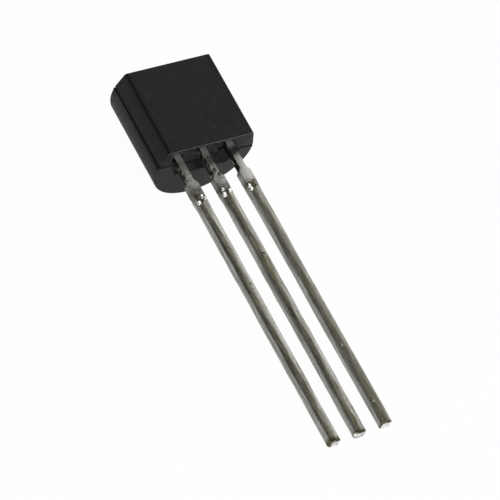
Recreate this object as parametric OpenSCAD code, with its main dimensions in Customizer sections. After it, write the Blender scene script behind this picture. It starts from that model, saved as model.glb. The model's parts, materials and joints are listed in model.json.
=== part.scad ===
// Through-hole transistor in a D-shaped moulded body with three straight leads, lying on its round
// back with the flat face up. Lengths in millimetres, angles in degrees.
//
// Each piece is drawn in package axes: X across the lead row, Y along the leads with the tips at -Y
// and the underside of the body at zero, Z out of the flat face with the middle of the stamped lead
// frame at zero. The finished piece is then laid down.

/* [Moulded body] */
// Greatest width, across the round back
body_w = 4.6; // [4.6:0.05:5.2]
// Height along the leads
body_h = 4.3; // [4.1:0.05:5.2]
// Depth from the flat face to the round back
body_d = 3.5; // [3.4:0.05:4.2]
// Width of the flat face
flat_w = 4.1; // [3.6:0.05:4.3]
// Rounding of the long edges of the flat face
flat_edge_r = 0.12; // [0.05:0.01:0.2]
// Depth from the flat face to the middle of the lead frame
front_d = 1; // [0.9:0.05:1.1]
// Height of the parting line above the middle of the lead frame
parting_z = 0.1; // [0:0.01:0.15]
// Width of the front half at the parting line
parting_w = 4.54; // [4.3:0.02:4.58]
// Width of the groove that the parting line leaves
groove_w = 0.12; // [0.05:0.01:0.14]
// Depth of the groove
groove_d = 0.08; // [0.02:0.01:0.1]
// Draft on the ends of the front half
front_draft_angle = 2.5; // [0:0.5:6]
// Draft on the ends of the round back
rear_draft_angle = 1; // [0:0.5:4]

/* [Recess round the leads] */
// Width of the recess in the underside, at the lead row
recess_w = 3.2; // [3.1:0.05:3.6]
// Width of the recess at its rear wall
recess_rear_w = 2.6; // [2:0.05:3]
// Thickness of the cheek left on each side of the recess at the flat face
recess_cheek = 0.25; // [0.2:0.01:0.4]
// Thickness of the lip between the recess and the flat face
recess_lip = 0.08; // [0.06:0.01:0.3]
// Reach of the recess behind the middle of the lead frame
recess_back = 0.78; // [0.5:0.02:1.2]
// Depth of the recess
recess_depth = 0.5; // [0.3:0.05:0.7]

/* [Leads] */
// Distance between neighbouring leads
lead_pitch = 1.27; // [1.2:0.01:1.35]
// Length of a lead below the body
lead_len = 14.1; // [8:0.1:20]
// Width of a stamped lead below its shoulder
lead_w = 0.45; // [0.4:0.01:0.48]
// Thickness of the stamped lead frame
lead_t = 0.38; // [0.3:0.01:0.45]
// Thickness of the solder coat below the shoulder
coat_t = 0.025; // [0.01:0.005:0.03]
// Rounding that the solder coat gives the edges of a lead
lead_edge_r = 0.09; // [0.03:0.01:0.13]
// Corner taken off each side of a sheared tip
tip_chamfer = 0.07; // [0.03:0.01:0.12]
// Width of the narrow neck between body and shoulder
neck_w = 0.32; // [0.28:0.01:0.4]
// Length of the neck below the body
neck_len = 0.95; // [0.6:0.05:1.4]
// Width of the shoulder left where the tie bar was cut away
shoulder_w = 0.55; // [0.54:0.01:0.7]
// Length of the shoulder
shoulder_len = 0.9; // [0.5:0.05:1.2]
// Length over which a neck widens into its shoulder
shoulder_slope = 0.16; // [0.05:0.01:0.2]
// Length over which a shoulder narrows into its shank
shoulder_foot = 0.2; // [0.1:0.01:0.25]

/* [Lead frame inside the body] */
// Distance from the recess floor up to the base flag
root_cover = 0.6; // [0.4:0.05:0.8]
// Width of a bonding flag
flag_w = 0.8; // [0.6:0.05:0.95]
// Height of a bonding flag
flag_h = 0.55; // [0.45:0.05:0.65]
// Clear gap between the stamped pieces
frame_gap = 0.3; // [0.2:0.02:0.4]
// Height of the paddle that carries the die
paddle_h = 1.3; // [1:0.05:1.4]
// Overhang of the paddle past the outer edge of its stem
paddle_overhang = 0.15; // [0.05:0.01:0.3]

/* [Die and bond wires] */
// Side of the square silicon die
die_w = 0.5; // [0.4:0.02:0.7]
// Thickness of the die
die_t = 0.2; // [0.12:0.01:0.25]
// Thickness of the die attach layer
attach_t = 0.03; // [0.02:0.005:0.05]
// Width of attach material squeezed out round the die
attach_margin = 0.05; // [0.02:0.01:0.1]
// Diameter of a bond wire
wire_d = 0.04; // [0.03:0.005:0.05]
// Rise of a wire above the straight line between its bonds
wire_rise = 0.2; // [0.12:0.02:0.24]
// Diameter of the ball bond on the die
ball_d = 0.12; // [0.09:0.01:0.16]
// Height of the ball bond
ball_t = 0.06; // [0.055:0.005:0.08]
// Side of the square stitch bond on a flag
stitch_w = 0.12; // [0.09:0.01:0.16]
// Thickness of the stitch bond
stitch_t = 0.04; // [0.035:0.005:0.06]

/* [Hidden] */

$fn = 64;

// Cuts run past the faces that they open by this much
overrun = 0.1;

// Epoxy, solder-coated lead, silicon, silver-filled paste and gold
epoxy_colour = "#2b2b2d";
lead_colour = "#8d8c84";
silicon_colour = "#59606b";
paste_colour = "#c7c6c0";
gold_colour = "#d8b24c";

// Round back: radius, its reach behind the middle of the lead frame, and the place of its axis there
back_r = body_w / 2;
back_reach = body_d - front_d;
back_axis = back_reach - back_r;

// How far the drafted ends have drawn in at the flat face and at the middle of the back
front_rise = (front_d - parting_z) * tan(front_draft_angle);
rear_rise = (parting_z + back_reach) * tan(rear_draft_angle);

// Groove at the parting line: its two edges and the width left between its roots
groove_front = parting_z + groove_w / 2;
groove_rear = parting_z - groove_w / 2;
groove_root = parting_w - 2 * groove_d;

// Sides of the front half, and where the rounding of the flat face's long edges starts on each side
side_taper = atan2((parting_w - flat_w) / 2, front_d - parting_z);
edge_reach = flat_edge_r * tan((90 - side_taper) / 2);
edge_on_flat = flat_w / 2 - edge_reach;
edge_on_side = flat_w / 2 + edge_reach * sin(side_taper);
edge_below_flat = edge_reach * cos(side_taper);

// Stamped pieces inside the body: base flag below, emitter flag beside the paddle
emitter_x = -lead_pitch;
collector_x = lead_pitch;
base_flag_y = recess_depth + root_cover;
paddle_y = base_flag_y + flag_h + frame_gap;
paddle_left = emitter_x + flag_w / 2 + frame_gap;
paddle_right = collector_x + neck_w / 2 + paddle_overhang;
frame_top = lead_t / 2;

// Section of a lead with its solder coat
shank_w = lead_w + 2 * coat_t;
shank_t = lead_t + 2 * coat_t;

// Die in the middle of the paddle, with its two bond pads on its diagonal
die_x = (paddle_left + paddle_right) / 2;
die_y = paddle_y + paddle_h / 2;
die_floor = frame_top + attach_t;
die_top = die_floor + die_t;
pad_share = 0.22;
base_pad = [die_x + pad_share * die_w, die_y - pad_share * die_w];
emitter_pad = [die_x - pad_share * die_w, die_y + pad_share * die_w];
base_stitch = [0, base_flag_y + flag_h / 2];
emitter_stitch = [emitter_x, paddle_y + flag_h / 2];

// Rest on a flat surface: the heel of the round back and the lower edge of the tips both touch it
rest_tilt = atan2(back_reach - shank_t / 2, lead_len + rear_rise);
rest_lift = back_reach * cos(rest_tilt) - rear_rise * sin(rest_tilt);
crown_at_back = (body_h - rear_rise) * cos(rest_tilt) + back_reach * sin(rest_tilt);
crown_at_parting = body_h * cos(rest_tilt);
rest_far = max(crown_at_back, crown_at_parting);
rest_near = -lead_len * cos(rest_tilt) - shank_t / 2 * sin(rest_tilt);
rest_shift = -(rest_far + rest_near) / 2;

module lay_down() {
    translate([0, rest_shift, rest_lift])
        rotate([rest_tilt, 0, 0])
            children();
}

// Extrudes an outline drawn in (Z, Y) along X, over a width centred on zero
module along_x(width) {
    translate([-width / 2, 0, 0])
        rotate([0, 90, 0])
            mirror([1, 0, 0])
                linear_extrude(width)
                    children();
}

// Extrudes an outline drawn in (X, Z) along Y, from start over a length
module along_y(start, length) {
    translate([0, start, 0])
        rotate([90, 0, 0])
            mirror([0, 0, 1])
                linear_extrude(length)
                    children();
}

// Extrudes an outline drawn in (X, Y) through a thickness centred on the middle of the lead frame
module stamped(thickness = lead_t) {
    translate([0, 0, -thickness / 2])
        linear_extrude(thickness)
            children();
}

// Section of the front half: sides that narrow from the parting groove to the round-edged flat face
module front_section() {
    polygon([
        [-groove_root / 2, parting_z], [groove_root / 2, parting_z],
        [parting_w / 2, groove_front],
        [edge_on_side, front_d - edge_below_flat], [edge_on_flat, front_d],
        [-edge_on_flat, front_d], [-edge_on_side, front_d - edge_below_flat],
        [-parting_w / 2, groove_front]
    ]);
    for (x = [-edge_on_flat, edge_on_flat])
        translate([x, front_d - flat_edge_r])
            circle(r = flat_edge_r);
}

// Front half: its section along the body, with draft and the parting groove on both ends
module front_half() {
    intersection() {
        along_y(0, body_h)
            front_section();
        along_x(body_w)
            polygon([
                [parting_z, groove_d], [groove_front, 0],
                [front_d, front_rise], [front_d, body_h - front_rise],
                [groove_front, body_h], [parting_z, body_h - groove_d]
            ]);
    }
}

// Section of the rear half: the round back up to the parting groove
module rear_section() {
    intersection() {
        translate([0, -back_axis])
            circle(r = back_r);
        polygon([
            [-groove_root / 2, parting_z], [-body_w / 2, groove_rear],
            [-body_w / 2, -back_reach], [body_w / 2, -back_reach],
            [body_w / 2, groove_rear], [groove_root / 2, parting_z]
        ]);
    }
}

// Rear half: its section along the body, with draft and the parting groove on both ends
module rear_half() {
    intersection() {
        along_y(0, body_h)
            rear_section();
        along_x(body_w + overrun)
            polygon([
                [parting_z, groove_d], [groove_rear, 0],
                [-back_reach, rear_rise], [-back_reach, body_h - rear_rise],
                [groove_rear, body_h], [parting_z, body_h - groove_d]
            ]);
    }
}

// Six-sided recess in the underside, narrowing from its thin lip behind the flat face to its rear wall
module lead_recess() {
    front = front_d - recess_lip;
    front_w = flat_w - 2 * recess_cheek;
    along_y(-overrun, recess_depth + overrun)
        polygon([
            [-recess_w / 2, 0], [-recess_rear_w / 2, -recess_back],
            [recess_rear_w / 2, -recess_back], [recess_w / 2, 0],
            [front_w / 2, front], [-front_w / 2, front]
        ]);
}

// Rounded section of a solder-coated lead
module coated_section() {
    inner_w = shank_w - 2 * lead_edge_r;
    inner_t = shank_t - 2 * lead_edge_r;
    square([shank_w, inner_t], center = true);
    square([inner_w, shank_t], center = true);
    for (x = [-inner_w / 2, inner_w / 2])
        for (z = [-inner_t / 2, inner_t / 2])
            translate([x, z])
                circle(r = lead_edge_r);
}

// Straight part of a lead below the shoulder, with its sheared tip
module shank() {
    shank_top = -(neck_len + shoulder_len);
    intersection() {
        along_y(-lead_len, lead_len + shank_top)
            coated_section();
        stamped(shank_t)
            polygon([
                [-shank_w / 2, shank_top], [shank_w / 2, shank_top],
                [shank_w / 2, tip_chamfer - lead_len], [shank_w / 2 - tip_chamfer, -lead_len],
                [tip_chamfer - shank_w / 2, -lead_len], [-shank_w / 2, tip_chamfer - lead_len]
            ]);
    }
}

// Neck and shoulder as one stamped outline, from the shank up to a height inside the body
module stem(top) {
    shoulder_y = -neck_len;
    shoulder_end = shoulder_y - shoulder_len;
    stamped()
        polygon([
            [-neck_w / 2, top], [-neck_w / 2, shoulder_y],
            [-shoulder_w / 2, shoulder_y - shoulder_slope],
            [-shoulder_w / 2, shoulder_end + shoulder_foot],
            [-shank_w / 2, shoulder_end], [shank_w / 2, shoulder_end],
            [shoulder_w / 2, shoulder_end + shoulder_foot],
            [shoulder_w / 2, shoulder_y - shoulder_slope],
            [neck_w / 2, shoulder_y], [neck_w / 2, top]
        ]);
}

// Lead whose upper end is a bonding flag, at its place in the row
module flagged_lead(x, flag_y) {
    translate([x, 0, 0]) {
        shank();
        stem(flag_y);
        stamped()
            translate([-flag_w / 2, flag_y])
                square([flag_w, flag_h]);
    }
}

// Lead whose upper end is the paddle that carries the die
module paddle_lead() {
    translate([collector_x, 0, 0]) {
        shank();
        stem(paddle_y);
    }
    stamped()
        translate([paddle_left, paddle_y])
            square([paddle_right - paddle_left, paddle_h]);
}

// Square plate lying on the lead frame, centred on the die
module die_plate(side, floor, thickness) {
    translate([die_x - side / 2, die_y - side / 2, floor])
        cube([side, side, thickness]);
}

// Bond wire from a pad on the die to a flag: ball bond, one bowed wire and a stitch bond
module bond_wire(pad, stitch) {
    span = norm(stitch - pad);
    heading = atan2(stitch[1] - pad[1], stitch[0] - pad[0]);
    from_z = die_top + ball_t / 2;
    to_z = frame_top + stitch_t / 2;
    chord = norm([span, to_z - from_z]);
    slope = atan2(to_z - from_z, span);
    bow_r = (chord * chord / 4 + wire_rise * wire_rise) / (2 * wire_rise);
    half_angle = asin(chord / 2 / bow_r);
    sunk = bow_r - wire_rise;
    translate([pad[0], pad[1], 0])
        rotate([0, 0, heading]) {
            translate([0, 0, die_top])
                cylinder(d = ball_d, h = ball_t);
            translate([span - stitch_w / 2, -stitch_w / 2, frame_top])
                cube([stitch_w, stitch_w, stitch_t]);
            rotate([90, 0, 0])
                translate([
                    span / 2 + sunk * sin(slope),
                    (from_z + to_z) / 2 - sunk * cos(slope), 0
                ])
                    rotate([0, 0, 90 + slope - half_angle])
                        rotate_extrude(angle = 2 * half_angle)
                            translate([bow_r, 0])
                                circle(d = wire_d);
        }
}

// Everything that the body is moulded around
module moulded_in() {
    flagged_lead(emitter_x, paddle_y);
    flagged_lead(0, base_flag_y);
    paddle_lead();
    die_plate(die_w + 2 * attach_margin, frame_top, attach_t);
    die_plate(die_w, die_floor, die_t);
    bond_wire(base_pad, base_stitch);
    bond_wire(emitter_pad, emitter_stitch);
}

module moulded_body() {
    color(epoxy_colour)
        lay_down()
            difference() {
                union() {
                    front_half();
                    rear_half();
                }
                lead_recess();
                moulded_in();
            }
}

module emitter_lead() {
    color(lead_colour)
        lay_down()
            flagged_lead(emitter_x, paddle_y);
}

module base_lead() {
    color(lead_colour)
        lay_down()
            flagged_lead(0, base_flag_y);
}

module collector_lead() {
    color(lead_colour)
        lay_down()
            paddle_lead();
}

module silicon_die() {
    color(silicon_colour)
        lay_down()
            die_plate(die_w, die_floor, die_t);
}

module die_attach() {
    color(paste_colour)
        lay_down()
            die_plate(die_w + 2 * attach_margin, frame_top, attach_t);
}

module base_bond_wire() {
    color(gold_colour)
        lay_down()
            bond_wire(base_pad, base_stitch);
}

module emitter_bond_wire() {
    color(gold_colour)
        lay_down()
            bond_wire(emitter_pad, emitter_stitch);
}

moulded_body();
emitter_lead();
base_lead();
collector_lead();
silicon_die();
die_attach();
base_bond_wire();
emitter_bond_wire();
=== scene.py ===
# A through-hole transistor lying on its round back with the flat face up.
# Pieces are shaped in package axes, in millimetres: X across the lead row, Y along the leads with the
# tips at -Y, Z out of the flat face. A finished piece is then laid down in the part's own frame.
import json
import math

import bmesh
import bpy
from mathutils import Matrix, Vector


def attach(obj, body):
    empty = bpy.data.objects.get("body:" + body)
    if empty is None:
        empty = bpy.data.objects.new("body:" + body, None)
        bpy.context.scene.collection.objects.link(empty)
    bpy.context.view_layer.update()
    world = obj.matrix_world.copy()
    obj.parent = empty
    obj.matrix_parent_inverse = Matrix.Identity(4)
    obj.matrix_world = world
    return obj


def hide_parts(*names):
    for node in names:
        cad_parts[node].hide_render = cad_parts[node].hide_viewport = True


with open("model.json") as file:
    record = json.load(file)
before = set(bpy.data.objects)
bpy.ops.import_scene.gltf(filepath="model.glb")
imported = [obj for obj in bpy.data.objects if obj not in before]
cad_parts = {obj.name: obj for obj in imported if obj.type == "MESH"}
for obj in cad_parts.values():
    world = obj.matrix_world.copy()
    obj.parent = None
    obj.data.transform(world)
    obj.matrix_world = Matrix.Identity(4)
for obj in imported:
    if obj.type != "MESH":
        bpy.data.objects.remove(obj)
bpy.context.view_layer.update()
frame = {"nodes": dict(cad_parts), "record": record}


# Lead frame: three strips stamped side by side from copper alloy sheet, each with a narrow neck, a
# wider shoulder where the tie bar was sheared away, and a flag or paddle that stays inside the body.
# Below the shoulder they were dipped in solder, which drew into a crowned coat with beads on top.
MM = 0.001
lead_row = next(m for m in frame["record"]["mounts"] if m["name"] == "lead_row")
along_leads = -Vector(lead_row["axis"])
rest_tilt = math.atan2(along_leads.z, along_leads.y)
underside = Vector(lead_row["pos_m"])
tiny = 0.001

lead_pitch = lead_row["dims"]["spacing_x_mm"]
frame_t = 0.38
neck_w = 0.32
shoulder_w = 0.55
shank_w = 0.5
shank_t = 0.43
shoulder_top = -0.95
shoulder_slope = 0.16
shoulder_foot = 0.2
shoulder_end = -1.85
flag_w = 0.8
flag_h = 0.55
flag_step = 0.01
base_flag_y = 1.1
paddle_y = 1.95
paddle_h = 1.3
paddle_left = -0.57
paddle_overhang = 0.15
stamped_edge = 0.03

coat_corner = 0.06
coat_crown = 0.025
coat_rings = 42
coat_top = -2.4
# The bead under the shoulder: place along Y, share of the coat's width, share of its thickness.
bead_stations = (
    (-2.2, 1.01, 1.0), (-2.02, 1.05, 1.04), (-1.88, 1.09, 1.07),
    (-1.76, 1.08, 1.03), (-1.68, 0.96, 0.9),
)
tip_step = 0.05
tip_taper = (0.86, 0.86)
tip_crease = 0.7
ripple_stretch = 5.0


def paint(code):
    """Turns an sRGB hex colour into the linear colour that a shader takes."""
    values = [int(code[i:i + 2], 16) / 255 for i in (1, 3, 5)]
    return [v / 12.92 if v <= 0.04045 else ((v + 0.055) / 1.055) ** 2.4 for v in values] + [1.0]


def add_node(tree, kind, inputs=None, **settings):
    """Adds a shader node, sets it up, and links or fills its inputs."""
    made = tree.nodes.new("ShaderNode" + kind)
    for key, value in settings.items():
        setattr(made, key, value)
    for key, value in (inputs or {}).items():
        if isinstance(value, bpy.types.NodeSocket):
            tree.links.new(value, made.inputs[key])
        else:
            made.inputs[key].default_value = value
    return made


def new_material(name):
    """Starts a material: its tree, its shader and its place on the piece in package millimetres."""
    material = bpy.data.materials.new(name)
    material.use_nodes = True
    tree = material.node_tree
    shader = tree.nodes["Principled BSDF"]
    place = add_node(tree, "TexCoord").outputs["Object"]
    package = add_node(
        tree, "Mapping", {"Vector": place, "Location": underside, "Rotation": (rest_tilt, 0, 0),
                          "Scale": (MM, MM, MM)}, vector_type="TEXTURE")
    return material, tree, shader, package.outputs["Vector"]


# Hot-dipped tin-lead solder: a dull grey metal, streaked along the lead by the drain of the bath, with
# small dark pits. Its front face carries a painted reflection: a dark olive band where the crowned face
# is square on or turns left, the side that mirrors the dark ceiling. An olive flux stain sits where the
# coat starts under the shoulder, and a band just above the sheared tip is darker. On the right lead a
# matt crust of flux covers the whole front and thickens towards the tip.
solder, tree, shader, package = new_material("hot_dipped_solder")
streak_w = 0.09
streak_l = 1.4
streak_depth = 0.012
streak_place = add_node(tree, "Mapping", {
    "Vector": package, "Scale": (1 / streak_w, 1 / streak_l, 1 / streak_w)})
streaks = add_node(tree, "TexNoise", {
    "Vector": streak_place.outputs[0], "Scale": 1.0, "Detail": 5.0, "Roughness": 0.62})
streak_level = add_node(tree, "MapRange", {
    "Value": streaks.outputs["Fac"], "From Min": 0.32, "From Max": 0.66})
coat_colour = add_node(tree, "Mix", {
    0: streak_level.outputs[0], 6: paint("#626159"), 7: paint("#a4a4a0")}, data_type="RGBA")
pit_size = 0.1
pits = add_node(tree, "TexNoise", {
    "Vector": package, "Scale": 1 / pit_size, "Detail": 2.0, "Roughness": 0.5})
pit_level = add_node(tree, "MapRange", {
    "Value": pits.outputs["Fac"], "From Min": 0.62, "From Max": 0.72, "To Max": 0.65})
pitted_colour = add_node(tree, "Mix", {
    0: pit_level.outputs[0], 6: coat_colour.outputs[2], 7: paint("#403d31")}, data_type="RGBA")
blotch_size = 0.22
blotches = add_node(tree, "TexNoise", {
    "Vector": package, "Scale": 1 / blotch_size, "Detail": 4.0, "Roughness": 0.6})
facing = add_node(tree, "SeparateXYZ", {0: add_node(tree, "NewGeometry").outputs["Normal"]})
# Painted reflection: a dark olive band on the front face where it is square on or turns left, the side
# that mirrors the dark ceiling.
front_level = add_node(tree, "MapRange", {
    "Value": facing.outputs["Z"], "From Min": 0.9, "From Max": 0.99})
band_side = add_node(tree, "MapRange", {
    "Value": facing.outputs["X"], "From Min": -0.02, "From Max": 0.12, "To Min": 0.7, "To Max": 0.1})
painted_band = add_node(tree, "Math", {0: front_level.outputs[0], 1: band_side.outputs[0]},
                      operation="MULTIPLY")
banded_colour = add_node(tree, "Mix", {
    0: painted_band.outputs[0], 6: pitted_colour.outputs[2], 7: paint("#68634a")}, data_type="RGBA")
spot = add_node(tree, "SeparateXYZ", {0: package})
along = spot.outputs["Y"]
on_right_lead = add_node(tree, "MapRange", {
    "Value": spot.outputs["X"], "From Min": lead_pitch / 2, "From Max": lead_pitch - shank_w / 2})
crust_down = add_node(tree, "MapRange", {
    "Value": along, "From Min": -12.0, "From Max": -3.0, "To Min": 0.8, "To Max": 0.25})
crust_front = add_node(tree, "Math", {
    0: front_level.outputs[0], 1: crust_down.outputs[0]}, operation="MULTIPLY")
crust = add_node(tree, "Math", {
    0: crust_front.outputs[0], 1: on_right_lead.outputs[0]}, operation="MULTIPLY")
crust_shade = add_node(tree, "Mix", {
    0: blotches.outputs["Fac"], 6: paint("#45422f"), 7: paint("#65624f")}, data_type="RGBA")
crusted_colour = add_node(tree, "Mix", {
    0: crust.outputs[0], 6: banded_colour.outputs[2], 7: crust_shade.outputs[2]}, data_type="RGBA")
bare_metal = add_node(tree, "Math", {0: 1.0, 1: crust.outputs[0]}, operation="SUBTRACT")
stain_edge = add_node(tree, "Math", {
    0: blotches.outputs["Fac"], 1: 0.5, 2: along}, operation="MULTIPLY_ADD")
shoulder_stain = add_node(tree, "MapRange", {
    "Value": stain_edge.outputs[0], "From Min": -1.75, "From Max": -1.5, "To Max": 0.8})
# A darker band just above the sheared tip.
tip_band = add_node(tree, "MapRange", {
    "Value": along, "From Min": -13.96, "From Max": -13.82, "To Min": 0.9, "To Max": 0.0})
stain_and_tip_band = add_node(tree, "Math", {
    0: shoulder_stain.outputs[0], 1: tip_band.outputs[0]}, operation="MAXIMUM")
end_marked_colour = add_node(tree, "Mix", {
    0: stain_and_tip_band.outputs[0], 6: crusted_colour.outputs[2], 7: paint("#4a4633")}, data_type="RGBA")
coat_rough = add_node(tree, "MapRange", {
    "Value": blotches.outputs["Fac"], "From Min": 0.3, "From Max": 0.7, "To Min": 0.26, "To Max": 0.44})
bump = add_node(tree, "Bump", {
    "Strength": 0.5, "Distance": streak_depth * MM, "Height": streaks.outputs["Fac"]})
tree.links.new(end_marked_colour.outputs[2], shader.inputs["Base Color"])
tree.links.new(coat_rough.outputs[0], shader.inputs["Roughness"])
tree.links.new(bump.outputs[0], shader.inputs["Normal"])
tree.links.new(bare_metal.outputs[0], shader.inputs["Metallic"])

# Stamped copper alloy strip under a thin tin plate: matt grey faces with darker blotches, lighter
# towards the right, and with painted light on the neck near and inside the body, where the lip shades
# it.
# The sheared neck sides have nearly black patches, partly shear marks and partly painted shade on the
# faces that turn sideways. A brown film of resin lies across the neck, thickest on the right, and an
# olive flux stain where the solder starts, longest on the left.
strip_metal, tree, shader, package = new_material("tinned_copper_strip")
spot = add_node(tree, "SeparateXYZ", {0: package})
blotch_size = 0.14
blotch_depth = 0.015
blotches = add_node(tree, "TexNoise", {
    "Vector": package, "Scale": 1 / blotch_size, "Detail": 5.0, "Roughness": 0.65})
# Lighter towards the right lead, and painted light on the neck near and inside the body, where the lip
# shades it.
lighter_right = add_node(tree, "MapRange", {
    "Value": spot.outputs["X"], "From Min": lead_pitch / 2, "From Max": lead_pitch, "To Max": 0.3})
painted_light_inside = add_node(tree, "MapRange", {
    "Value": spot.outputs["Y"], "From Min": -0.1, "From Max": 0.3, "To Max": 0.4})
lightening = add_node(tree, "Math", {
    0: lighter_right.outputs[0], 1: painted_light_inside.outputs[0]}, operation="MAXIMUM")
blotch_sum = add_node(tree, "Math", {
    0: blotches.outputs["Fac"], 1: lightening.outputs[0]}, operation="ADD")
blotch_level = add_node(tree, "MapRange", {
    "Value": blotch_sum.outputs[0], "From Min": 0.3, "From Max": 0.7})
plate_colour = add_node(tree, "Mix", {
    0: blotch_level.outputs[0], 6: paint("#686762"), 7: paint("#bbbab6")}, data_type="RGBA")
# Painted shade mixed with shear marks: dark patches on the neck's faces that turn sideways.
facing = add_node(tree, "SeparateXYZ", {0: add_node(tree, "NewGeometry").outputs["Normal"]})
sideways = add_node(tree, "Math", {0: facing.outputs["X"]}, operation="ABSOLUTE")
patch_size = 0.2
patches = add_node(tree, "TexNoise", {"Vector": package, "Scale": 1 / patch_size, "Detail": 3.0})
patch_sum = add_node(tree, "Math", {
    0: patches.outputs["Fac"], 1: 1.6, 2: sideways.outputs[0]}, operation="MULTIPLY_ADD")
patch_level = add_node(tree, "MapRange", {
    "Value": patch_sum.outputs[0], "From Min": 1.6, "From Max": 1.85})
on_neck = add_node(tree, "MapRange", {"Value": spot.outputs["Y"], "From Min": -1.3, "From Max": -1.0})
neck_patches_and_shade = add_node(tree, "Math", {
    0: patch_level.outputs[0], 1: on_neck.outputs[0]}, operation="MULTIPLY")
sheared_and_shaded_colour = add_node(tree, "Mix", {
    0: neck_patches_and_shade.outputs[0], 6: plate_colour.outputs[2], 7: paint("#1b1913")}, data_type="RGBA")
resin_y = -0.3
resin_slope = -0.16
resin_slant = add_node(tree, "Math", {
    0: spot.outputs["X"], 1: resin_slope, 2: spot.outputs["Y"]}, operation="MULTIPLY_ADD")
from_resin = add_node(tree, "Math", {0: resin_slant.outputs[0], 1: resin_y}, operation="SUBTRACT")
resin_far = add_node(tree, "Math", {0: from_resin.outputs[0]}, operation="ABSOLUTE")
resin_edge = add_node(tree, "Math", {
    0: blotches.outputs["Fac"], 1: 0.3, 2: resin_far.outputs[0]}, operation="MULTIPLY_ADD")
resin_level = add_node(tree, "MapRange", {
    "Value": resin_edge.outputs[0], "From Min": 0.25, "From Max": 0.45, "To Min": 1.0, "To Max": 0.0})
resin_side = add_node(tree, "MapRange", {
    "Value": spot.outputs["X"], "From Min": -1.0, "From Max": 0.5, "To Min": 0.1, "To Max": 0.9})
resin = add_node(tree, "Math", {
    0: resin_level.outputs[0], 1: resin_side.outputs[0]}, operation="MULTIPLY")
resin_colour = add_node(tree, "Mix", {
    0: resin.outputs[0], 6: sheared_and_shaded_colour.outputs[2], 7: paint("#292823")}, data_type="RGBA")
stain_slope = 0.12
stain_slant = add_node(tree, "Math", {
    0: spot.outputs["X"], 1: stain_slope, 2: spot.outputs["Y"]}, operation="MULTIPLY_ADD")
stain_edge = add_node(tree, "Math", {
    0: blotches.outputs["Fac"], 1: -0.6, 2: stain_slant.outputs[0]}, operation="MULTIPLY_ADD")
stain = add_node(tree, "MapRange", {
    "Value": stain_edge.outputs[0], "From Min": -1.92, "From Max": -1.62,
    "To Min": 0.85, "To Max": 0.0})
stain_mottle = add_node(tree, "MapRange", {
    "Value": patches.outputs["Fac"], "From Min": 0.35, "From Max": 0.6, "To Min": 0.5, "To Max": 1.0})
mottled_stain = add_node(tree, "Math", {
    0: stain.outputs[0], 1: stain_mottle.outputs[0]}, operation="MULTIPLY")
strip_colour = add_node(tree, "Mix", {
    0: mottled_stain.outputs[0], 6: resin_colour.outputs[2], 7: paint("#3b3826")}, data_type="RGBA")
bump = add_node(tree, "Bump", {
    "Strength": 0.6, "Distance": blotch_depth * MM, "Height": blotches.outputs["Fac"]})
tree.links.new(strip_colour.outputs[2], shader.inputs["Base Color"])
tree.links.new(bump.outputs[0], shader.inputs["Normal"])
shader.inputs["Metallic"].default_value = 0.86
shader.inputs["Roughness"].default_value = 0.55

# Sheared tip, and the bright flecks on the right lead: copper alloy with tin smeared over it, nearly
# white where it was dragged and grey beside.
tip_metal, tree, shader, package = new_material("sheared_tip_metal")
drag_w = 0.12
drag_l = 0.3
drag_depth = 0.006
drag_place = add_node(tree, "Mapping", {
    "Vector": package, "Scale": (1 / drag_w, 1 / drag_l, 1 / drag_l)})
drag = add_node(tree, "TexNoise", {"Vector": drag_place.outputs[0], "Scale": 1.0, "Detail": 3.0})
drag_level = add_node(tree, "MapRange", {
    "Value": drag.outputs["Fac"], "From Min": 0.38, "From Max": 0.58})
tip_colour = add_node(tree, "Mix", {
    0: drag_level.outputs[0], 6: paint("#86857e"), 7: paint("#f0f0ec")}, data_type="RGBA")
bump = add_node(tree, "Bump", {
    "Strength": 0.3, "Distance": drag_depth * MM, "Height": drag.outputs["Fac"]})
tree.links.new(tip_colour.outputs[2], shader.inputs["Base Color"])
tree.links.new(bump.outputs[0], shader.inputs["Normal"])
shader.inputs["Metallic"].default_value = 1.0
shader.inputs["Roughness"].default_value = 0.4

# Bright tin-lead solder, where it froze last in smooth beads: nearly white, a little frosted.
bright_solder, tree, shader, package = new_material("bright_solder_beads")
frost_size = 0.08
frost = add_node(tree, "TexNoise", {"Vector": package, "Scale": 1 / frost_size, "Detail": 2.0})
bead_colour = add_node(tree, "Mix", {
    0: frost.outputs["Fac"], 6: paint("#bdbcb6"), 7: paint("#efefeb")}, data_type="RGBA")
bead_rough = add_node(tree, "MapRange", {"Value": frost.outputs["Fac"], "To Min": 0.2, "To Max": 0.34})
tree.links.new(bead_colour.outputs[2], shader.inputs["Base Color"])
tree.links.new(bead_rough.outputs[0], shader.inputs["Roughness"])
shader.inputs["Metallic"].default_value = 1.0

# Flux residue, baked dark olive in the hollows between the beads.
flux, tree, shader, package = new_material("baked_flux_residue")
residue_size = 0.06
residue = add_node(tree, "TexNoise", {"Vector": package, "Scale": 1 / residue_size, "Detail": 3.0})
residue_colour = add_node(tree, "Mix", {
    0: residue.outputs["Fac"], 6: paint("#2a281c"), 7: paint("#565340")}, data_type="RGBA")
tree.links.new(residue_colour.outputs[2], shader.inputs["Base Color"])
shader.inputs["Roughness"].default_value = 0.4

# How much of a face's normal, or of an edge, has to lie along an axis to count as lying along it.
square_on = 0.9
in_line = 0.99
sharp_angle = math.radians(20)


def pick(kind, test):
    """In edit mode, leaves selected only the faces or edges that pass the test on their middle."""
    mesh = bmesh.from_edit_mesh(bpy.context.object.data)
    bpy.ops.mesh.select_mode(type=kind)
    bpy.ops.mesh.select_all(action="DESELECT")
    for element in mesh.faces if kind == "FACE" else mesh.edges:
        middle = sum((v.co for v in element.verts), Vector()) / len(element.verts)
        if test(middle, element):
            element.select_set(True)
    mesh.select_flush_mode()
    bmesh.update_edit_mesh(bpy.context.object.data)


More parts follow.
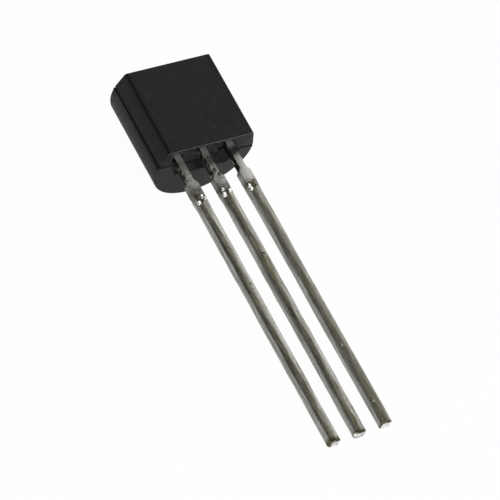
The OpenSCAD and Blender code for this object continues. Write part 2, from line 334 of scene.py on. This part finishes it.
def runs_along_y(edge):
    direction = (edge.verts[1].co - edge.verts[0].co).normalized()
    return abs(direction.y) > in_line


def is_sharp(edge):
    return len(edge.link_faces) == 2 and edge.calc_face_angle() > sharp_angle


def finish_picked(material):
    """In edit mode, gives the selected faces a material of their own."""
    piece = bpy.context.object
    if material.name not in piece.data.materials:
        piece.data.materials.append(material)
    piece.active_material_index = piece.data.materials.find(material.name)
    bpy.ops.object.material_slot_assign()


def add_block(name, low, high, material):
    """Adds a block between two corners and opens it in edit mode."""
    bpy.ops.object.select_all(action="DESELECT")
    size = Vector(high) - Vector(low)
    bpy.ops.mesh.primitive_cube_add(size=1, location=(Vector(low) + Vector(high)) / 2, scale=size)
    bpy.ops.object.transform_apply(location=True, rotation=True, scale=True)
    bpy.context.object.name = name
    bpy.context.object.data.materials.append(material)
    bpy.ops.object.mode_set(mode="EDIT")
    return bpy.context.object


def apply_modifier(piece, kind, **settings):
    modifier = piece.modifiers.new(kind.lower(), kind)
    for key, value in settings.items():
        setattr(modifier, key, value)
    bpy.context.view_layer.objects.active = piece
    bpy.ops.object.modifier_apply(modifier=modifier.name)


def combine(piece, operation, tool):
    """Joins a tool's volume to a piece or cuts it away, and drops the tool."""
    apply_modifier(piece, "BOOLEAN", operation=operation, solver="EXACT", object=tool,
                   material_mode="TRANSFER")
    bpy.data.objects.remove(tool)


# A spot off every plane of symmetry, so that mirrored points aren't equally far from it.
off_axis_spot = (31.0, -47.0, 23.0)


def settle_order():
    """In edit mode, puts the points, edges and faces in an order that is the same each run."""
    bpy.context.scene.cursor.location = off_axis_spot
    bpy.ops.mesh.select_all(action="SELECT")
    bpy.ops.mesh.sort_elements(type="CURSOR_DISTANCE", elements={"VERT", "EDGE", "FACE"})


def clean_cuts(split_faces):
    """Clears the double points and stray points that the cuts left, and may split many-sided faces."""
    bpy.ops.object.mode_set(mode="EDIT")
    bpy.ops.mesh.select_mode(type="VERT")
    settle_order()
    bpy.ops.mesh.remove_doubles(threshold=tiny / 10)
    bpy.ops.mesh.dissolve_degenerate(threshold=tiny / 10)
    bpy.ops.mesh.select_all(action="DESELECT")
    mesh = bmesh.from_edit_mesh(bpy.context.object.data)
    for vertex in mesh.verts:
        vertex.select_set(len(vertex.link_edges) == 2)
    bmesh.update_edit_mesh(bpy.context.object.data)
    bpy.ops.mesh.dissolve_verts()
    if split_faces:
        bpy.ops.mesh.select_mode(type="FACE")
        bpy.ops.mesh.select_all(action="DESELECT")
        bpy.ops.mesh.select_face_by_sides(number=4, type="GREATER")
        bpy.ops.mesh.quads_convert_to_tris(quad_method="BEAUTY", ngon_method="BEAUTY")
    bpy.ops.object.mode_set(mode="OBJECT")


def stamped_strip(name, x, outline):
    """Extrudes a strip of the sheet's thickness through its (place along Y, width) stations."""
    (start, start_w), (place, width) = outline[:2]
    strip = add_block(name, (x - start_w / 2, start, -frame_t / 2),
                      (x + start_w / 2, place, frame_t / 2), strip_metal)
    pick("FACE", lambda middle, face: face.normal.y > square_on)
    bpy.ops.transform.resize(value=(width / start_w, 1, 1), center_override=(x, place, 0))
    for (place, width), (next_place, next_width) in zip(outline[1:], outline[2:]):
        bpy.ops.mesh.extrude_region_move(TRANSFORM_OT_translate={"value": (0, next_place - place, 0)})
        bpy.ops.transform.resize(value=(next_width / width, 1, 1), center_override=(x, next_place, 0))
    return strip


def dipped_coat(x, tip_end):
    """Makes the coated length of a lead: crowned faces, a bead under the shoulder, a sheared tip."""
    low = Vector((x - shank_w / 2, tip_end + tip_step, -shank_t / 2))
    high = Vector((x + shank_w / 2, coat_top, shank_t / 2))
    coat = add_block("coat", low, high, solder)
    pick("EDGE", lambda middle, edge: runs_along_y(edge))
    bpy.ops.mesh.bevel(offset=coat_corner, segments=2, affect="EDGES")

    def on_a_middle(middle):
        return abs(middle.x - x) < tiny or abs(middle.z) < tiny

    pick("EDGE", lambda middle, edge: on_a_middle(middle))
    bpy.ops.mesh.subdivide(number_cuts=1)
    pick("EDGE", lambda middle, edge: runs_along_y(edge) and on_a_middle(middle))
    bpy.ops.transform.resize(
        value=(1 + 2 * coat_crown / shank_w, 1, 1 + 2 * coat_crown / shank_t),
        center_override=(x, 0, 0))
    pick("EDGE", lambda middle, edge: runs_along_y(edge))
    bpy.ops.mesh.subdivide(number_cuts=coat_rings)

    pick("FACE", lambda middle, face: face.normal.y > square_on)
    last = (coat_top, 1.0, 1.0)
    for station in bead_stations:
        bpy.ops.mesh.extrude_region_move(
            TRANSFORM_OT_translate={"value": (0, station[0] - last[0], 0)})
        bpy.ops.transform.resize(
            value=(station[1] / last[1], 1, station[2] / last[2]), center_override=(x, station[0], 0))
        last = station
    pick("FACE", lambda middle, face: face.normal.y < -square_on)
    bpy.ops.mesh.extrude_region_move(TRANSFORM_OT_translate={"value": (0, -tip_step, 0)})
    bpy.ops.transform.resize(value=(tip_taper[0], 1, tip_taper[1]), center_override=(x, tip_end, 0))
    finish_picked(tip_metal)
    pick("EDGE", lambda middle, edge: middle.y < tip_end + tip_step + tiny and not runs_along_y(edge))
    bpy.ops.transform.edge_crease(value=tip_crease)
    settle_order()
    bpy.ops.object.mode_set(mode="OBJECT")
    apply_modifier(coat, "SUBSURF", levels=2, render_levels=2)
    for texture, strength in ripples:
        apply_modifier(coat, "DISPLACE", texture=texture, texture_coords="OBJECT",
                       texture_coords_object=stretch, strength=strength, mid_level=0.5)
    return coat


def solder_drop(place, size, seed, material):
    """Makes a flattened, uneven drop on the front of a lead, turned a little towards the right."""
    bpy.ops.object.select_all(action="DESELECT")
    bpy.ops.mesh.primitive_uv_sphere_add(
        segments=24, ring_count=14, radius=1, location=place, scale=size,
        rotation=Vector(drop_facing).to_track_quat("Z", "Y").to_euler())
    bpy.ops.object.transform_apply(location=True, rotation=True, scale=True)
    drop = bpy.context.object
    drop.data.materials.append(material)
    bpy.ops.object.mode_set(mode="EDIT")
    bpy.ops.mesh.select_all(action="SELECT")
    bpy.ops.transform.vertex_random(offset=drop_uneven, seed=seed)
    bpy.ops.mesh.vertices_smooth(factor=0.5, repeat=3)
    bpy.ops.object.mode_set(mode="OBJECT")
    return drop


stretch = bpy.data.objects.new("ripple_stretch", None)
stretch.scale = (1, ripple_stretch, 1)
bpy.context.scene.collection.objects.link(stretch)
bpy.context.view_layer.update()
ripples = []
for name, size, strength in (("coat_lumps", 0.5, 0.04), ("coat_streaks", 0.14, 0.018)):
    texture = bpy.data.textures.new(name, "CLOUDS")
    texture.noise_scale = size
    ripples.append((texture, strength))

drop_facing = (0.305, -0.088, 0.948)
drop_uneven = 0.03
bead_size = Vector((0.13, 0.12, 0.05))
# Each kind of drop: material, half sizes, height above the lead's middle, and whether it adds or cuts.
drop_kinds = {
    "bead": (bright_solder, bead_size, 0.2, "UNION"),
    "dull bead": (solder, bead_size, 0.2, "UNION"),
    "fleck": (tip_metal, Vector((0.07, 0.08, 0.03)), 0.235, "UNION"),
    "hollow": (flux, Vector((0.11, 0.13, 0.08)), 0.25, "DIFFERENCE"),
    "dent": (flux, Vector((0.05, 0.07, 0.05)), 0.25, "DIFFERENCE"),
}
neck_outline = [
    (shoulder_end, shank_w), (shoulder_end + shoulder_foot, shoulder_w),
    (shoulder_top - shoulder_slope, shoulder_w), (shoulder_top, neck_w),
]
corner_facing = (-0.8, -0.6, 0)
leads = []
# A mark is its kind, its place across and along the lead, and its share of the kind's size.
for name, x, flag_y, tip_end, corner_cut, marks in (
    ("emitter_lead", -lead_pitch, paddle_y, -14.1, 0.14, (
        ("hollow", 0.0, -1.99, 1.0), ("bead", 0.09, -1.82, 1.0), ("bead", 0.17, -1.97, 0.9),
        ("bead", -0.17, -2.09, 1.0), ("dent", -0.1, -13.63, 0.8), ("dent", 0.06, -6.3, 1.0))),
    ("base_lead", 0.0, base_flag_y, -14.04, 0.05, (
        ("hollow", 0.01, -1.8, 1.0), ("hollow", -0.16, -2.24, 0.8), ("bead", -0.14, -1.76, 0.9),
        ("bead", 0.14, -1.89, 1.0), ("bead", -0.19, -2.02, 1.1), ("dull bead", 0.08, -1.0, 0.7),
        ("dull bead", -0.02, -0.77, 0.8), ("hollow", -0.01, -0.78, 0.5), ("dent", 0.05, -5.1, 1.2))),
    ("collector_lead", lead_pitch, paddle_y, -13.97, 0.04, (
        ("hollow", 0.0, -1.93, 1.0), ("hollow", 0.15, -1.66, 0.8), ("dull bead", 0.09, -1.82, 0.7),
        ("bead", -0.18, -1.9, 0.9), ("bead", -0.17, -2.07, 0.9), ("fleck", -0.09, -10.09, 1.0),
        ("fleck", -0.09, -12.88, 0.9), ("dent", -0.19, -12.8, 1.2))),
):
    carries_die = name == "collector_lead"
    top_w = neck_w + 2 * paddle_overhang if carries_die else flag_w
    top_h = paddle_h if carries_die else flag_h
    lead = stamped_strip(name + "_dressed", x, neck_outline + [
        (flag_y, neck_w), (flag_y + flag_step, top_w), (flag_y + top_h, top_w),
    ])
    if carries_die:
        pick("FACE", lambda middle, face: (
            face.normal.x < -square_on and middle.y > paddle_y + 2 * flag_step))
        bpy.ops.mesh.extrude_region_move(
            TRANSFORM_OT_translate={"value": (paddle_left - x + top_w / 2, 0, 0)})
    pick("EDGE", lambda middle, edge: is_sharp(edge) and middle.y < flag_y - tiny)
    bpy.ops.mesh.bevel(offset=stamped_edge, segments=3, affect="EDGES")
    settle_order()
    bpy.ops.object.mode_set(mode="OBJECT")
    combine(lead, "UNION", dipped_coat(x, tip_end))
    for seed, (kind, off, mark_y, share) in enumerate(marks):
        finish, size, rise, operation = drop_kinds[kind]
        combine(lead, operation, solder_drop((x + off, mark_y, rise), size * share, seed, finish))
    bpy.ops.object.mode_set(mode="EDIT")
    bpy.ops.mesh.select_all(action="SELECT")
    bpy.ops.mesh.bisect(
        plane_co=(x - shank_w / 2, tip_end + corner_cut, 0), plane_no=corner_facing,
        use_fill=True, clear_outer=True)
    clean_cuts(split_faces=True)
    leads.append((lead, name))
bpy.data.objects.remove(stretch)

smooth_angle = math.radians(35)


def lay_down(piece):
    """Takes a piece from package axes in millimetres to its place in the part's frame."""
    place = Matrix.Translation(underside) @ Matrix.Rotation(rest_tilt, 4, "X")
    piece.matrix_world = place @ Matrix.Scale(MM, 4)
    bpy.ops.object.select_all(action="DESELECT")
    piece.select_set(True)
    bpy.context.view_layer.objects.active = piece
    bpy.ops.object.transform_apply(location=True, rotation=True, scale=True)
    bpy.ops.object.shade_smooth_by_angle(angle=smooth_angle)


for lead, name in leads:
    lay_down(lead)
    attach(lead, "root")
    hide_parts(name)


# Die, die attach and bond wires: a sawn silicon chip stuck to the paddle with silver-filled paste and
# wired to the flags with drawn gold. The moulding hides them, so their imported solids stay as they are
# and only get a finish: mottled by saw marks, paste grains or drawing lines.
for material_name, names, dark, light, grain_size, metallic, roughness in (
    ("sawn_silicon", ("silicon_die",), "#454b55", "#6c7480", 0.03, 0.6, 0.15),
    ("silver_filled_paste", ("die_attach",), "#a9a8a2", "#dcdbd6", 0.02, 0.8, 0.5),
    ("drawn_gold_wire", ("base_bond_wire", "emitter_bond_wire"), "#c79f3a", "#e6c566", 0.015, 1.0, 0.2),
):
    material, tree, shader, package = new_material(material_name)
    grain = add_node(tree, "TexNoise", {"Vector": package, "Scale": 1 / grain_size, "Detail": 3.0})
    shade = add_node(tree, "Mix", {0: grain.outputs["Fac"], 6: paint(dark), 7: paint(light)},
                     data_type="RGBA")
    tree.links.new(shade.outputs[2], shader.inputs["Base Color"])
    shader.inputs["Metallic"].default_value = metallic
    shader.inputs["Roughness"].default_value = roughness
    for name in names:
        chip = frame["nodes"][name]
        chip.data.materials.clear()
        chip.data.materials.append(material)


# Body: black epoxy moulded round the lead frame in a two-part mould. The front half is a drafted
# block with the flat face, the back half is round, and a fine groove runs where the halves met.
body_h = 4.3
back_r = 2.3
back_reach = 2.5
back_sides = 192
front_d = 1.0
flat_w = 4.1
parting_z = 0.1
parting_w = 4.54
groove_w = 0.12
groove_d = 0.08
groove_rear = parting_z - groove_w / 2
groove_front = parting_z + groove_w / 2
front_draft = math.radians(2.5)
rear_draft = math.radians(1)
flat_edge = 0.094
mould_edge = 0.035
recess_w = 3.2
recess_lip_w = 3.6
recess_rear_w = 2.4
recess_front = 0.92
recess_back = 0.78
recess_depth = 0.5
recess_overrun = 0.3
recess_floor_share = 0.8
recess_mouth_share = 1.25
recess_cuts = 13
floor_lump = 0.09
wall_lump = 0.02

# Moulded epoxy: near-black filled resin. It is satin where the front mould half was polished, with
# faint scuffs, and painted shade darkens that half's edges and the groove. It is sandy where the round
# half and the ends were spark-eroded, with painted light making it paler on the right. Inside the
# recess it is broken, with painted light on the side walls in front and on the left end of the rear
# wall, and the lip carries a painted highlight.
grain_depth = 0.012
shade_slope = 0.022
scuff_size = 0.3
epoxies = {}
for finish, dark, light, mottle_size, grain_size, relief, roughness, specular in (
    ("polished", "#17171a", "#212124", 0.5, 0.05, 0.1, 0.5, 0.12),
    ("painted_shade", "#101012", "#18181a", 0.4, 0.05, 0.1, 0.45, 0.1),
    ("sandy", "#151513", "#2e2e2c", 0.12, 0.07, 0.8, 0.62, 0.2),
    ("wall_painted_light", "#373735", "#4d4d4a", 0.3, 0.07, 0.5, 0.62, 0.2),
    ("broken", "#0e0d0c", "#3c3936", 0.16, 0.09, 1.0, 0.7, 0.3),
    ("lip_highlight", "#2e2e30", "#7c7c7f", 0.45, 0.05, 0.4, 0.5, 0.4),
):
    material, tree, shader, package = new_material(finish + "_black_epoxy")
    mottle = add_node(tree, "TexNoise", {"Vector": package, "Scale": 1 / mottle_size, "Detail": 4.0})
    spot = add_node(tree, "SeparateXYZ", {0: package})
    tone = mottle.outputs["Fac"]
    # Painted light: the sandy epoxy turns paler towards the right.
    if finish == "sandy":
        painted_light_drift = add_node(tree, "MapRange", {
            "Value": spot.outputs["X"], "From Min": -0.2, "From Max": 1.1,
            "To Min": -0.4, "To Max": 0.55})
        tone = add_node(tree, "Math", {0: tone, 1: 1.1, 2: painted_light_drift.outputs[0]},
                        operation="MULTIPLY_ADD").outputs[0]
    # Painted light on the rear wall of the recess, strongest at its left end.
    if finish == "broken":
        rear_painted_light = add_node(tree, "MapRange", {
            "Value": spot.outputs["Z"], "From Min": -0.7, "From Max": -0.4,
            "To Min": 1.0, "To Max": 0.0})
        left_painted_light = add_node(tree, "MapRange", {
            "Value": spot.outputs["X"], "From Min": -1.2, "From Max": -0.2,
            "To Min": 0.6, "To Max": 0.2})
        tone = add_node(tree, "Math", {0: rear_painted_light.outputs[0], 1: left_painted_light.outputs[0], 2: tone},
                        operation="MULTIPLY_ADD").outputs[0]
    shade = add_node(tree, "Mix", {0: tone, 6: paint(dark), 7: paint(light)}, data_type="RGBA")
    # Painted shade along the flat's side and top edges and next to the groove, with light scuffs over
    # it.
    if finish == "polished":
        across = add_node(tree, "Math", {0: spot.outputs["X"]}, operation="ABSOLUTE")
        slanted = add_node(tree, "Math", {
            0: spot.outputs["Y"], 1: shade_slope, 2: across.outputs[0]}, operation="MULTIPLY_ADD")
        past_edge = add_node(tree, "Math", {0: slanted.outputs[0], 1: flat_w / 2}, operation="SUBTRACT")
        edge_far = add_node(tree, "Math", {0: past_edge.outputs[0]}, operation="ABSOLUTE")
        side_painted_shade = add_node(tree, "MapRange", {
            "Value": edge_far.outputs[0], "From Min": 0.04, "From Max": 0.19,
            "To Min": 0.75, "To Max": 0.0})
        top_painted_shade = add_node(tree, "MapRange", {
            "Value": spot.outputs["Y"], "From Min": body_h - 0.13, "From Max": body_h - 0.06,
            "To Max": 0.75})
        groove_painted_shade = add_node(tree, "MapRange", {
            "Value": spot.outputs["Z"], "From Min": groove_front, "From Max": groove_front + 0.1,
            "To Min": 0.8, "To Max": 0.0})
        edge_painted_shade = add_node(tree, "Math", {
            0: side_painted_shade.outputs[0], 1: top_painted_shade.outputs[0]}, operation="MAXIMUM")
        edge_and_groove_shade = add_node(tree, "Math", {
            0: edge_painted_shade.outputs[0], 1: groove_painted_shade.outputs[0]}, operation="MAXIMUM")
        shade = add_node(tree, "Mix", {
            0: edge_and_groove_shade.outputs[0], 6: shade.outputs[2], 7: paint("#0c0c0e")}, data_type="RGBA")
        scuffs = add_node(tree, "TexNoise", {"Vector": package, "Scale": 1 / scuff_size, "Detail": 2.0})
        scuff_level = add_node(tree, "MapRange", {
            "Value": scuffs.outputs["Fac"], "From Min": 0.64, "From Max": 0.76, "To Max": 0.6})
        shade = add_node(tree, "Mix", {
            0: scuff_level.outputs[0], 6: shade.outputs[2], 7: paint("#333336")}, data_type="RGBA")
    grain = add_node(tree, "TexNoise", {"Vector": package, "Scale": 1 / grain_size, "Detail": 3.0})
    bump = add_node(tree, "Bump", {
        "Strength": relief, "Distance": grain_depth * MM, "Height": grain.outputs["Fac"]})
    tree.links.new(shade.outputs[2], shader.inputs["Base Color"])
    tree.links.new(bump.outputs[0], shader.inputs["Normal"])
    shader.inputs["Roughness"].default_value = roughness
    shader.inputs["Specular IOR Level"].default_value = specular
    epoxies[finish] = material

middle_y = body_h / 2
back_axis = back_r - back_reach
bpy.ops.object.select_all(action="DESELECT")
bpy.ops.mesh.primitive_cylinder_add(
    vertices=back_sides, radius=back_r, depth=body_h, location=(0, middle_y, back_axis),
    rotation=(math.pi / 2, 0, 0))
bpy.ops.object.transform_apply(location=True, rotation=True, scale=True)
body = bpy.context.object
body.name = "moulded_body_dressed"
body.data.materials.append(epoxies["sandy"])
bpy.ops.object.mode_set(mode="EDIT")
bpy.ops.mesh.select_all(action="SELECT")
bpy.ops.mesh.bisect(
    plane_co=(0, 0, groove_rear), plane_no=(0, 0, 1), use_fill=True, clear_outer=True)
for end_y, turn in ((0, -rear_draft), (body_h, rear_draft)):
    pick("FACE", lambda middle, face: abs(face.normal.y) > square_on and abs(middle.y - end_y) < tiny)
    bpy.ops.transform.rotate(
        value=turn, orient_axis="X", orient_type="GLOBAL", center_override=(0, end_y, groove_rear))
pick("FACE", lambda middle, face: face.normal.z > square_on)

rim_w = 2 * math.sqrt(back_r ** 2 - (groove_rear - back_axis) ** 2)
flat_h = body_h - 2 * (front_d - parting_z) * math.tan(front_draft)
section = Vector((rim_w, body_h))
for rise, next_section in (
    (groove_w / 2, Vector((parting_w - 2 * groove_d, body_h - 2 * groove_d))),
    (groove_w / 2, Vector((parting_w, body_h))),
    (front_d - groove_front, Vector((flat_w, flat_h))),
):
    bpy.ops.mesh.extrude_region_move(TRANSFORM_OT_translate={"value": (0, 0, rise)})
    bpy.ops.transform.resize(
        value=(next_section.x / section.x, next_section.y / section.y, 1),
        center_override=(0, middle_y, 0))
    section = next_section

pick("EDGE", lambda middle, edge: runs_along_y(edge) and middle.z > front_d - tiny)
bpy.ops.mesh.bevel(offset=flat_edge, segments=6, affect="EDGES")
pick("EDGE", lambda middle, edge: is_sharp(edge) and abs(middle.z - parting_z) > 1.5 * groove_w)
bpy.ops.mesh.bevel(offset=mould_edge, segments=3, affect="EDGES")
pick("FACE", lambda middle, face: middle.z > groove_front and abs(face.normal.y) < 0.6)
finish_picked(epoxies["polished"])
# Painted shade in the groove.
pick("FACE", lambda middle, face: abs(middle.z - parting_z) < groove_w / 2)
finish_picked(epoxies["painted_shade"])
# Painted shade on the flat's top edge and a painted highlight on its bottom edge, the lip.
for end, finish in ((1, "painted_shade"), (-1, "lip_highlight")):
    pick("FACE", lambda middle, face: (
        middle.z > front_d - 2 * mould_edge and 0.3 < end * face.normal.y < 0.95))
    finish_picked(epoxies[finish])
settle_order()
bpy.ops.object.mode_set(mode="OBJECT")

# The recess round the leads has sloped side walls, with painted light on their front parts, and is
# lumpy elsewhere, where the resin between the leads broke off.
recess = add_block(
    "recess_cutter", (-recess_w / 2, -recess_overrun, -recess_back),
    (recess_w / 2, recess_depth, 0), epoxies["broken"])
pick("FACE", lambda middle, face: face.normal.z < -square_on)
bpy.ops.transform.resize(value=(recess_rear_w / recess_w, 1, 1), center_override=(0, 0, 0))
pick("FACE", lambda middle, face: face.normal.z > square_on)
bpy.ops.mesh.extrude_region_move(TRANSFORM_OT_translate={"value": (0, 0, recess_front)})
bpy.ops.transform.resize(value=(recess_lip_w / recess_w, 1, 1), center_override=(0, 0, 0))
pick("FACE", lambda middle, face: face.normal.y > square_on)
bpy.ops.transform.resize(value=(recess_floor_share, 1, 1), center_override=(0, 0, 0))
pick("FACE", lambda middle, face: face.normal.y < -square_on)
bpy.ops.transform.resize(value=(recess_mouth_share, 1, 1), center_override=(0, 0, 0))
# Painted light: the side walls in front get a paler epoxy.
pick("FACE", lambda middle, face: abs(face.normal.x) > 0.5 and middle.z > 0)
finish_picked(epoxies["wall_painted_light"])
bpy.ops.mesh.select_all(action="SELECT")
bpy.ops.mesh.subdivide(number_cuts=recess_cuts)
settle_order()
pick("FACE", lambda middle, face: middle.y > recess_depth - tiny)
bpy.ops.transform.vertex_random(offset=floor_lump, uniform=0.2, seed=4)
pick("FACE", lambda middle, face: middle.z < recess_front - tiny)
bpy.ops.transform.vertex_random(offset=wall_lump, seed=7)
bpy.ops.object.mode_set(mode="OBJECT")
combine(body, "DIFFERENCE", recess)
clean_cuts(split_faces=False)
lay_down(body)
apply_modifier(body, "WEIGHTED_NORMAL", keep_sharp=True)
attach(body, "root")
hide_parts("moulded_body")


# Stage: a white paper floor under a dim ceiling, a key lamp at the front, a broad soft lamp on the
# right that the metal mirrors, and a weak strip behind on the left. The paper is seen as an even white
# with a little of its own shading, which keeps the shadow.
floor_size = 4
bpy.ops.object.select_all(action="DESELECT")
bpy.ops.mesh.primitive_plane_add(size=floor_size, location=(0, 0, 0))
floor = bpy.context.object
floor.name = "floor"
white_share = 0.97
sheet = bpy.data.materials.new("white_paper")
sheet.use_nodes = True
tree = sheet.node_tree
shader = tree.nodes["Principled BSDF"]
shader.inputs["Base Color"].default_value = paint("#f7f7f7")
shader.inputs["Roughness"].default_value = 0.9
path = add_node(tree, "LightPath")
seen = add_node(tree, "Math", {0: path.outputs["Is Camera Ray"], 1: path.outputs["Is Glossy Ray"]},
                operation="MAXIMUM")
seen_through = add_node(tree, "Math", {0: seen.outputs[0], 1: path.outputs["Is Transmission Ray"]},
                        operation="MAXIMUM")
share = add_node(tree, "Math", {0: seen_through.outputs[0], 1: white_share}, operation="MULTIPLY")
glow = add_node(tree, "Emission", {"Color": (1, 1, 1, 1), "Strength": 1.0})
surface = add_node(tree, "MixShader", {0: share.outputs[0], 1: shader.outputs[0], 2: glow.outputs[0]})
tree.links.new(surface.outputs[0], tree.nodes["Material Output"].inputs["Surface"])
floor.data.materials.append(sheet)

world = bpy.data.worlds.new("studio")
bpy.context.scene.world = world
world.use_nodes = True
tree = world.node_tree
background = tree.nodes["Background"]
upward = add_node(tree, "SeparateXYZ", {0: add_node(tree, "TexCoord").outputs["Generated"]})
level = add_node(tree, "MapRange", {
    "Value": upward.outputs["Z"], "From Min": 0.0, "From Max": 0.6, "To Min": 0.8, "To Max": 0.2})
background.inputs["Color"].default_value = (1, 1, 1, 1)
tree.links.new(level.outputs[0], background.inputs["Strength"])

lamp_far = 0.3
for name, side, width, height, energy in (
    ("key", (-0.1, -0.72, 0.75), 0.2, 0.2, 0.5),
    ("right_softbox", (0.745, 0.345, 0.54), 0.26, 0.26, 0.36),
    ("left_strip", (-0.78, 0.32, 0.5), 0.2, 0.06, 0.02),
):
    lamp = bpy.data.lights.new(name, "AREA")
    lamp.shape = "RECTANGLE"
    lamp.size = width
    lamp.size_y = height
    lamp.energy = energy
    lamp_object = bpy.data.objects.new(name, lamp)
    bpy.context.scene.collection.objects.link(lamp_object)
    towards = Vector(side).normalized()
    lamp_object.location = towards * lamp_far
    lamp_object.rotation_euler = towards.to_track_quat("Z", "Y").to_euler()

# Camera: at the photograph's angle, rolled as it was held, with a long lens from close by.
view_azimuth = math.radians(-42.45)
view_elevation = math.radians(44.88)
view_roll = math.radians(17.64)
view_distance = 164.54 * MM
view_aim = Vector((-0.297, 0.048, 1.711)) * MM
lens_mm = 289.25
towards_camera = Vector((
    math.sin(view_azimuth) * math.cos(view_elevation),
    -math.cos(view_azimuth) * math.cos(view_elevation),
    math.sin(view_elevation)))
camera_data = bpy.data.cameras.new("camera")
camera_data.lens = lens_mm
camera_data.sensor_width = 36.0
camera_data.clip_start = 0.01
camera = bpy.data.objects.new("camera", camera_data)
bpy.context.scene.collection.objects.link(camera)
look = towards_camera.to_track_quat("Z", "Y").to_matrix().to_4x4()
camera.matrix_world = (
    Matrix.Translation(view_aim + towards_camera * view_distance) @ look
    @ Matrix.Rotation(view_roll, 4, "Z"))
bpy.context.scene.camera = camera
bpy.context.scene.view_settings.view_transform = "Standard"
